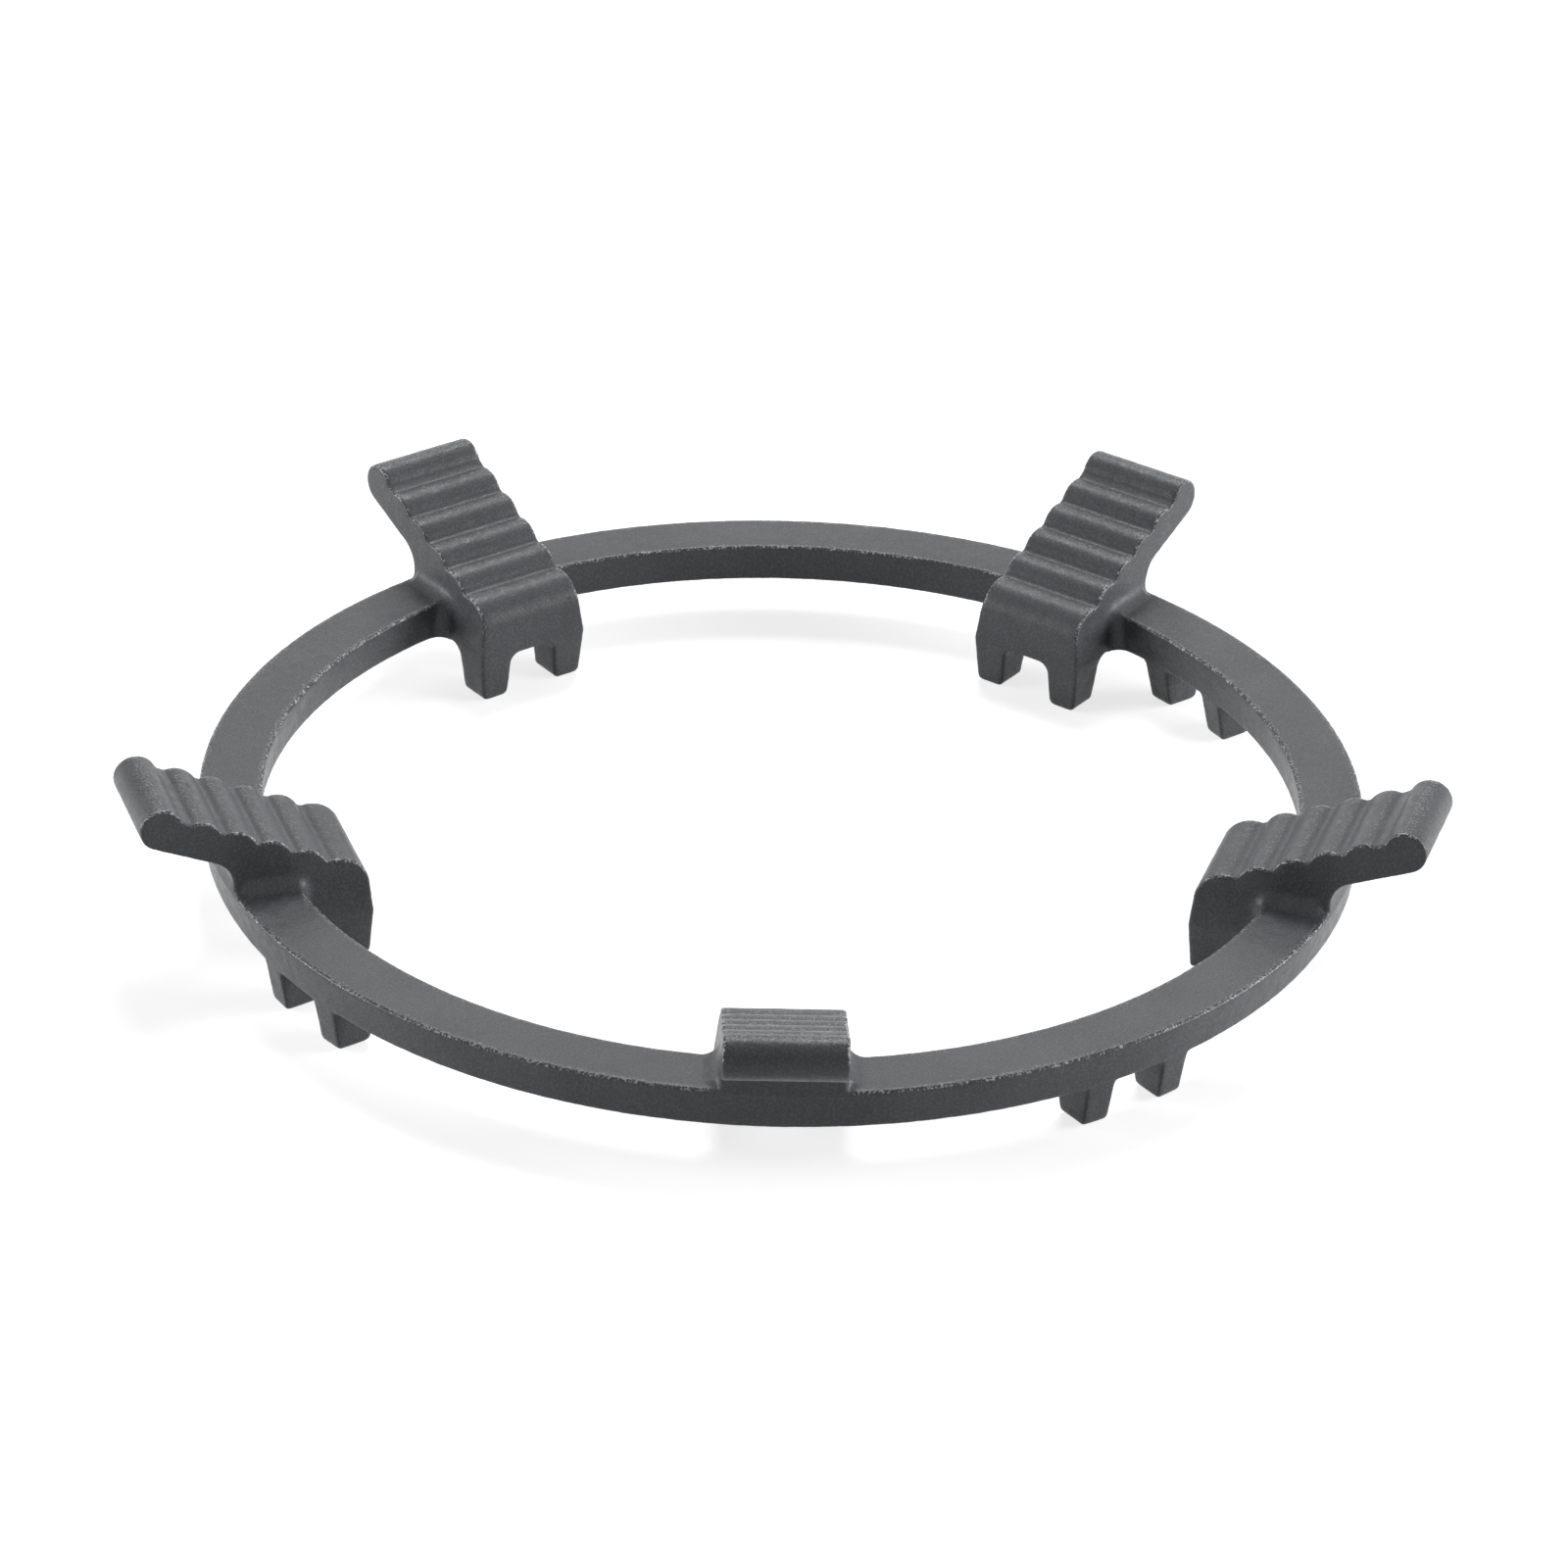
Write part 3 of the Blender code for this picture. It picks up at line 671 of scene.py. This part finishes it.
def baked(obj, name):
    """The object with its modifiers turned into a plain mesh."""
    evaluated = obj.evaluated_get(bpy.context.evaluated_depsgraph_get())
    mesh = bpy.data.meshes.new_from_object(evaluated)
    bpy.data.objects.remove(obj)
    mesh.name = name
    plain = bpy.data.objects.new(name, mesh)
    bpy.context.scene.collection.objects.link(plain)
    return plain


def iron_material(finish):
    """Sand-cast iron under a thin matt charcoal enamel.

    To the eye: a dull, even dark grey with a fine sandy tooth that glitters where light grazes it.
    Pale specks show on its grains, on upward edges as worn enamel and painted highlight, and on the
    rib crests as painted highlight; concave corners carry painted shade.
    """
    material = bpy.data.materials.new("sand-cast iron with matt enamel")
    material.use_nodes = True
    tree = material.node_tree
    shader = tree.nodes["Principled BSDF"]
    place = add_node(tree, 'ShaderNodeTexCoord').outputs["Object"]
    bend = add_node(tree, 'ShaderNodeAttribute', attribute_name=EDGE).outputs["Fac"]
    # one noise for single grains, one for clumps of a few grains, one for brush-wide clouds
    grains = add_node(tree, 'ShaderNodeTexNoise', {"Vector": place, "Scale": 1 / finish.sand_grain,
                                                   "Detail": 1.0, "Roughness": 0.5}).outputs[0]
    clumps = add_node(tree, 'ShaderNodeTexNoise', {
        "Vector": place, "Scale": 0.22 / finish.sand_grain, "Detail": 3.0,
        "Roughness": 0.6}).outputs[0]
    clouds = add_node(tree, 'ShaderNodeTexNoise', {"Vector": place, "Scale": 60.0,
                                                   "Detail": 3.0}).outputs[0]
    facing = add_node(tree, 'ShaderNodeNewGeometry').outputs["Normal"]
    height = add_node(tree, 'ShaderNodeSeparateXYZ', {0: facing}).outputs["Z"]
    # edges count only where they face up, towards the light; their pale specks are partly worn
    # enamel and partly painted highlight
    upward_lit = add_node(tree, 'ShaderNodeMapRange',
                      {"Value": height, "From Min": 0.10, "From Max": 0.45})
    sharp = add_node(tree, 'ShaderNodeMapRange',
                     {"Value": bend, "From Min": 0.16, "From Max": 0.33})
    edges = add_node(tree, 'ShaderNodeMath', {0: sharp.outputs[0], 1: upward_lit.outputs[0]},
                     operation='MULTIPLY')
    # painted shade: concave corners and valleys are darkened towards the dark tone
    corners = add_node(tree, 'ShaderNodeMapRange', {"Value": bend, "From Min": -0.04,
                                                    "From Max": -0.24})
    cloudy = add_node(tree, 'ShaderNodeMapRange', {
        "Value": clouds, "From Min": 0.35, "From Max": 0.65, "To Min": 0.0, "To Max": 0.35})
    base = add_node(tree, 'ShaderNodeMix', {"Factor": cloudy.outputs[0], 6: tuple(finish.enamel),
                                            7: tuple(finish.dark_tone_and_corner_shade)}, data_type='RGBA')
    thick = add_node(tree, 'ShaderNodeMath', {0: corners.outputs[0], 1: 0.15}, operation='MULTIPLY')
    dark = add_node(tree, 'ShaderNodeMix', {"Factor": thick.outputs[0], 6: base.outputs[2],
                                            7: tuple(finish.dark_tone_and_corner_shade)}, data_type='RGBA')
    speck = add_node(tree, 'ShaderNodeMapRange', {"Value": grains, "From Min": 0.48,
                                                  "From Max": 0.60})
    broken = add_node(tree, 'ShaderNodeMapRange', {"Value": clumps, "From Min": 0.36,
                                                   "From Max": 0.56})
    # pale edge specks: partly worn enamel, partly painted highlight
    rubbed_and_glinting = add_node(tree, 'ShaderNodeMath', {0: edges.outputs[0], 1: broken.outputs[0]},
                      operation='MULTIPLY')
    bare_and_glint = add_node(tree, 'ShaderNodeMath', {0: rubbed_and_glinting.outputs[0], 1: speck.outputs[0]},
                    operation='MULTIPLY')
    # painted highlight: pale specks on the rib crests where they face straight up
    crest_highlight = add_node(tree, 'ShaderNodeMapRange', {
        "Value": bend, "From Min": 0.045, "From Max": 0.085, "To Max": 0.20})
    level = add_node(tree, 'ShaderNodeMapRange',
                     {"Value": height, "From Min": 0.88, "From Max": 0.94})
    seat = add_node(tree, 'ShaderNodeMath', {0: crest_highlight.outputs[0], 1: level.outputs[0], 2: 0.06},
                    operation='MULTIPLY_ADD')
    # share of the pale colour: grain specks everywhere, painted highlight on the crests, and edge
    # specks that are partly worn enamel, partly painted highlight
    thin = add_node(tree, 'ShaderNodeMath',
                    {0: speck.outputs[0], 1: seat.outputs[0], 2: bare_and_glint.outputs[0]},
                    operation='MULTIPLY_ADD', use_clamp=True)
    skin = add_node(tree, 'ShaderNodeMix', {"Factor": thin.outputs[0], 6: dark.outputs[2],
                                            7: tuple(finish.pale_wear_and_highlight)}, data_type='RGBA')
    tree.links.new(skin.outputs[2], shader.inputs["Base Color"])
    matt = add_node(tree, 'ShaderNodeMapRange', {"Value": clumps, "From Min": 0.3, "From Max": 0.7,
                                                 "To Min": finish.roughness - 0.07,
                                                 "To Max": finish.roughness + 0.10})
    polished = add_node(tree, 'ShaderNodeMath', {0: edges.outputs[0], 1: -0.12, 2: matt.outputs[0]},
                        operation='MULTIPLY_ADD')
    tree.links.new(polished.outputs[0], shader.inputs["Roughness"])
    uneven = add_node(tree, 'ShaderNodeBump', {"Height": clumps, "Strength": 0.5,
                                               "Distance": 0.00012})
    sandy = add_node(tree, 'ShaderNodeBump', {"Height": grains, "Strength": 0.6,
                                              "Distance": 0.00007, "Normal": uneven.outputs[0]})
    tree.links.new(sandy.outputs[0], shader.inputs["Normal"])
    shader.inputs["Metallic"].default_value = 0.0
    shader.inputs["Specular IOR Level"].default_value = 0.25
    return material


class MESH_OT_wok_ring_casting(bpy.types.Operator):
    """Build the casting: the ring, its lugs and its feet, fused as one piece"""
    bl_idname = "mesh.wok_ring_casting"
    bl_label = "Wok ring casting"

    def execute(self, context):
        """Make the parts, copy them round the axis, fuse and soften them."""
        scene = context.scene
        finish = scene.wok_ring_finish
        shape = Shape(scene)
        iron = iron_material(finish)
        section = make_section(shape)
        add_tree(section, sweep_tree(), {"Radius": shape.bar.outer_r, "Steps": shape.bar.steps,
                                         "Material": iron})
        parts = {"Bar": baked(section, "bar")}
        turn = turn_tree()
        lug_turn = math.tau / shape.lug.lugs
        quarter = math.pi / 2
        for label, piece, copies, first, step in (
                ("Lugs", make_lug(shape), shape.lug.lugs, 0.0, lug_turn),
                ("Fillets", make_side_fillets(shape), shape.lug.lugs, 0.0, lug_turn),
                ("Feet", make_feet(shape), shape.stand.foot_pairs, quarter, quarter)):
            add_tree(piece, turn, {"Copies": copies, "First turn": first, "Turn": step,
                                   "Material": iron})
            parts[label] = baked(piece, label.lower())
        blank = bpy.data.objects.new("casting", bpy.data.meshes.new("casting"))
        scene.collection.objects.link(blank)
        add_tree(blank, gather_tree(list(parts)), {**parts, "Material": iron})
        fuse = blank.modifiers.new("Fuse", 'REMESH')
        fuse.mode = 'VOXEL'
        fuse.voxel_size = finish.grain * 1
        soft = blank.modifiers.new("Soften", 'SMOOTH')
        soft.factor = 0.5
        soft.iterations = finish.soften
        add_tree(blank, skin_tree(), {
            "Wave height": finish.wave_height, "Waves per metre": 1 / finish.wave_width,
            "Cells per metre": 1 / fuse.voxel_size, "Edge reach": finish.edge_reach,
            "Material": iron})
        casting = baked(blank, "wok_ring_casting")
        for part in parts.values():
            bpy.data.objects.remove(part)
        faces = 2 * len(casting.data.polygons)
        if faces > finish.triangles:
            thin = casting.modifiers.new("Thin", 'DECIMATE')
            thin.ratio = finish.triangles / faces
            casting = baked(casting, "wok_ring_casting")
        casting.data.shade_smooth()
        casting.data.materials.clear()
        casting.data.materials.append(iron)
        for polygon in casting.data.polygons:
            polygon.material_index = 0
        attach(casting, BODY)
        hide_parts(NODE)
        return {'FINISHED'}


class SCENE_OT_wok_ring_studio(bpy.types.Operator):
    """Set up the floor, the lights, the sky and the camera"""
    bl_idname = "scene.wok_ring_studio"
    bl_label = "Studio"

    def execute(self, context):
        """Make the stage that the ring is seen on."""
        scene = context.scene
        studio = scene.wok_ring_studio
        make_floor(studio)
        make_lights(studio)
        make_sky(scene, studio)
        make_camera(scene, studio)
        scene.view_settings.view_transform = 'Standard'
        return {'FINISHED'}


def seen_directly(tree):
    """1 for the rays that show a thing to the camera, in a gloss or through glass, else 0."""
    rays = add_node(tree, 'ShaderNodeLightPath').outputs
    gloss = add_node(tree, 'ShaderNodeMath', {0: rays["Is Camera Ray"], 1: rays["Is Glossy Ray"]},
                     operation='MAXIMUM')
    return add_node(tree, 'ShaderNodeMath', {0: gloss.outputs[0], 1: rays["Is Transmission Ray"]},
                    operation='MAXIMUM').outputs[0]


def make_floor(studio):
    """A plain white sheet under the feet, with a soft shadow near them."""
    bm = bmesh.new()
    bmesh.ops.create_grid(bm, x_segments=1, y_segments=1, size=FLOOR_REACH)
    bmesh.ops.translate(bm, vec=(0, 0, CAD_LOW.z), verts=bm.verts)
    floor = mesh_object("floor", bm)
    material = bpy.data.materials.new("white paper sheet")
    material.use_nodes = True
    tree = material.node_tree
    shader = tree.nodes["Principled BSDF"]
    shader.inputs["Base Color"].default_value = tuple(studio.floor)
    shader.inputs["Roughness"].default_value = 0.9
    shader.inputs["Specular IOR Level"].default_value = 0.0
    shader.inputs["Emission Color"].default_value = (1.0, 1.0, 1.0, 1.0)
    place = add_node(tree, 'ShaderNodeTexCoord').outputs["Object"]
    away = add_node(tree, 'ShaderNodeVectorMath', {0: place}, operation='LENGTH')
    white = add_node(tree, 'ShaderNodeMapRange', {
        "Value": away.outputs["Value"], "From Min": SHADOW_FROM, "From Max": SHADOW_TO,
        "To Min": studio.floor_white, "To Max": 1.0})
    glow = add_node(tree, 'ShaderNodeMath', {0: white.outputs[0], 1: seen_directly(tree)},
                    operation='MULTIPLY')
    tree.links.new(glow.outputs[0], shader.inputs["Emission Strength"])
    floor.data.materials.append(material)


def make_lights(studio):
    """Soft boxes round the ring, each set by its turn from the camera's side to the right."""
    place = Matrix(CAMERA_PLACE)
    right = Vector(place.col[0][:2]).normalized()
    near = Vector(place.col[2][:2]).normalized()
    for name, turn, rise, width, power in (
            ("right", 90, 12, 0.8, studio.right_power),
            ("left", 270, 12, 0.8, studio.left_power),
            ("back", 180, 12, 0.8, studio.back_power),
            ("high", 135, 45, 0.9, studio.high_power),
            ("top", 180, 56, 0.45, studio.top_power)):
        turn, rise = math.radians(turn), math.radians(rise)
        level = near * math.cos(turn) + right * math.sin(turn)
        towards = Vector((*(level * math.cos(rise)), math.sin(rise)))
        lamp = bpy.data.lights.new(name, 'AREA')
        lamp.size = width
        lamp.energy = power
        light = bpy.data.objects.new(name, lamp)
        light.location = towards * LAMP_DISTANCE
        light.rotation_euler = (-towards).to_track_quat('-Z', 'Y').to_euler()
        bpy.context.scene.collection.objects.link(light)


def make_sky(scene, studio):
    """Even light from all sides, pure white where it is seen directly."""
    world = bpy.data.worlds.new("studio sky")
    world.use_nodes = True
    tree = world.node_tree
    tree.nodes.clear()
    strength = add_node(tree, 'ShaderNodeMapRange', {"Value": seen_directly(tree),
                                                     "To Min": studio.sky, "To Max": 1.0})
    sky = add_node(tree, 'ShaderNodeBackground', {"Color": (1.0, 1.0, 1.0, 1.0),
                                                  "Strength": strength.outputs[0]})
    add_node(tree, 'ShaderNodeOutputWorld', {"Surface": sky.outputs[0]})
    scene.world = world


def make_camera(scene, studio):
    """The camera at the photograph's angle."""
    camera = bpy.data.objects.new("camera", bpy.data.cameras.new("camera"))
    camera.data.lens = studio.lens
    camera.data.sensor_width = 36.0
    camera.data.clip_start = 0.05
    camera.matrix_world = Matrix(CAMERA_PLACE)
    scene.collection.objects.link(camera)
    scene.camera = camera


class VIEW3D_PT_wok_ring(bpy.types.Panel):
    """The wok ring's pieces, sizes and stage"""
    bl_label = "Wok ring"
    bl_idname = "VIEW3D_PT_wok_ring"
    bl_space_type = 'VIEW_3D'
    bl_region_type = 'UI'
    bl_category = "Wok ring"

    def draw(self, context):
        """List the operators and the sizes."""
        layout = self.layout
        for operator in OPERATORS:
            layout.operator(operator.bl_idname)
        for attribute, group in PROPERTY_GROUPS.items():
            box = layout.box()
            for name in group.__annotations__:
                box.prop(getattr(context.scene, attribute), name)


OPERATORS = (MESH_OT_wok_ring_casting, SCENE_OT_wok_ring_studio)


def register():
    """Register the classes and hang the sizes on the scene."""
    for cls in (*PROPERTY_GROUPS.values(), *OPERATORS, VIEW3D_PT_wok_ring):
        bpy.utils.register_class(cls)
    for attribute, group in PROPERTY_GROUPS.items():
        setattr(bpy.types.Scene, attribute, bpy.props.PointerProperty(type=group))


def unregister():
    """Take the sizes and the classes away again."""
    for attribute in PROPERTY_GROUPS:
        delattr(bpy.types.Scene, attribute)
    for cls in (VIEW3D_PT_wok_ring, *OPERATORS, *PROPERTY_GROUPS.values()):
        bpy.utils.unregister_class(cls)


def main():
    """Register the add-on, then build the casting and the studio."""
    register()
    bpy.ops.mesh.wok_ring_casting()
    bpy.ops.scene.wok_ring_studio()


if __name__ == "__main__":
    main()
